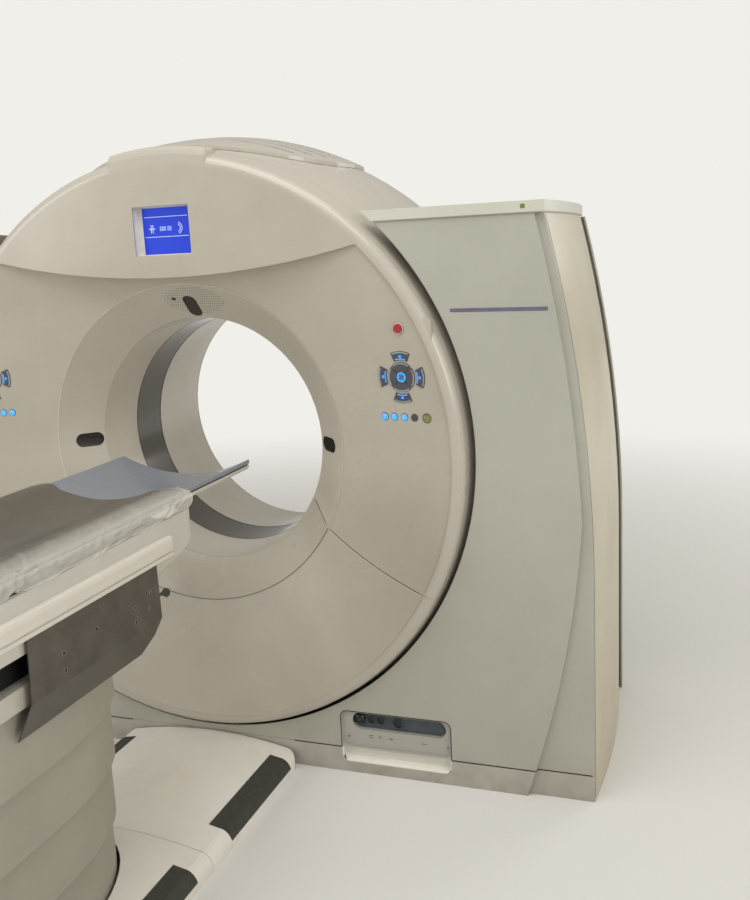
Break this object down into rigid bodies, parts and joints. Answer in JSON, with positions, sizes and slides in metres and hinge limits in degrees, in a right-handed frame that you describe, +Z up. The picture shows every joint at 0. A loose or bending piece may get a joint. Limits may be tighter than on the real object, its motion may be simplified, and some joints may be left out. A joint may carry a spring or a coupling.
{
  "type": "computed tomography scanner",
  "caption": "Ring-shaped scanner gantry that tilts between two stands, with a patient table that lifts and slides its hollow top through the bore.",
  "frame": {"origin": "on the floor under the scan centre, where the bore axis crosses the scan plane", "axes": "+X to the right as seen from the table, +Y from the table into the gantry along the bore axis, +Z up"},
  "size_m": [2.52, 3.397, 1.9856],
  "materials": {
    "frame_steel": "grey powder coat",
    "bearing_steel": "ground steel",
    "gear_unit": "dark grey enamel",
    "stand_cover": "satin grey-white lacquer",
    "side_cover": "yellowed satin lacquer",
    "socket_tray": "moulded grey",
    "ring_cover": "glossy warm white lacquer",
    "window_film": "brown translucent film",
    "bezel": "off-white",
    "screen": "lit blue panel",
    "laser_glass": "dark tinted window",
    "key_plastic": "dark violet grey",
    "stop_red": "red",
    "rotor_aluminium": "turned casting",
    "unit_paint": "light enamel",
    "detector_housing": "dark enamel",
    "slip_brass": "turned",
    "floor_plate": "cream lacquer",
    "tread_rubber": "dark olive",
    "column_cover": "satin grey-beige",
    "platform_paint": "satin beige",
    "drive_dark": "black",
    "bed_cover": "satin grey-white",
    "rail_white": "white anodised",
    "plate_steel": "brown-grey sheet",
    "top_laminate": "blue-grey laminate",
    "mattress_cover": "dark pad under a clear sheet"
  },
  "bodies": {
    "stand": {"base_frame": "frame_steel", "upright_left": "frame_steel", "upright_right": "frame_steel", "tilt_bearings": "bearing_steel", "tilt_gear_unit": "gear_unit", "stand_front_left": "stand_cover", "stand_front_right": "stand_cover", "stand_side_left": "side_cover", "stand_side_right": "side_cover", "stand_rear_left": "stand_cover", "stand_rear_right": "stand_cover", "stand_cap_left": "stand_cover", "stand_cap_right": "stand_cover", "plinth_front": "stand_cover", "plinth_rear": "stand_cover", "socket_panel": "socket_tray", "cover_brackets": "frame_steel", "table_base_frame": "frame_steel", "floor_plate_front": "floor_plate", "floor_plate_rear": "floor_plate", "tread_strips": "tread_rubber", "column_cover_1": "column_cover", "mast_tube_1": "frame_steel"},
    "ring": {"front_cover": "ring_cover", "lower_front_cover": "ring_cover", "front_tunnel": "ring_cover", "scan_window": "window_film", "rear_tunnel": "ring_cover", "rear_cover": "ring_cover", "mantle": "ring_cover", "top_vent": "ring_cover", "display_bezel": "bezel", "display_screen": "screen", "laser_windows": "laser_glass", "keypad_left": "key_plastic", "keypad_right": "key_plastic", "tilt_frame": "frame_steel", "trunnion_pins": "bearing_steel", "main_bearing": "bearing_steel"},
    "rotor": {"rotor_drum": "rotor_aluminium", "xray_tube": "unit_paint", "collimator": "rotor_aluminium", "detector_arc": "detector_housing", "power_units": "unit_paint", "slip_ring": "slip_brass"},
    "stop_left": {"stop_button_left": "stop_red"},
    "stop_right": {"stop_button_right": "stop_red"},
    "lift_stage_1": {"column_cover_2": "column_cover", "mast_tube_2": "frame_steel"},
    "lift_stage_2": {"column_cover_3": "column_cover", "mast_tube_3": "frame_steel"},
    "bed": {"column_cover_4": "column_cover", "mast_tube_4": "frame_steel", "lift_platform": "platform_paint", "drive_bay": "drive_dark", "bed_frame": "bed_cover", "bed_rails": "rail_white", "accessory_plate": "plate_steel"},
    "sliding_top": {"table_top": "top_laminate", "mattress": "mattress_cover"}
  },
  "joints": [
    {"name": "gantry_tilt", "type": "hinge", "parent": "stand", "child": "ring", "pos_m": [0, 0, 1.02703], "axis": [-1, 0, 0], "range_deg": [-30, 30]},
    {"name": "rotor_spin", "type": "hinge", "parent": "ring", "child": "rotor", "pos_m": [0, 0, 1.02703], "axis": [0, 1, 0], "continuous": true},
    {"name": "stop_left_press", "type": "slide", "parent": "ring", "child": "stop_left", "axis": [-0.1848, 0.9811, 0.0576], "range_m": [0, 0.004], "stiffness_N_per_m": 1500},
    {"name": "stop_right_press", "type": "slide", "parent": "ring", "child": "stop_right", "axis": [0.1848, 0.9811, 0.0576], "range_m": [0, 0.004], "stiffness_N_per_m": 1500},
    {"name": "table_lift", "type": "slide", "parent": "stand", "child": "bed", "axis": [0, 0, 1], "range_m": [-0.42, 0]},
    {"name": "stage_1_lift", "type": "slide", "parent": "stand", "child": "lift_stage_1", "axis": [0, 0, 1], "range_m": [-0.14, 0]},
    {"name": "stage_2_lift", "type": "slide", "parent": "stand", "child": "lift_stage_2", "axis": [0, 0, 1], "range_m": [-0.28, 0]},
    {"name": "table_slide", "type": "slide", "parent": "bed", "child": "sliding_top", "axis": [0, 1, 0], "range_m": [0, 1.6]}
  ],
  "couplings": [
    {"joint": "stage_1_lift", "follows": "table_lift", "ratio": 0.33333},
    {"joint": "stage_2_lift", "follows": "table_lift", "ratio": 0.66667}
  ]
}
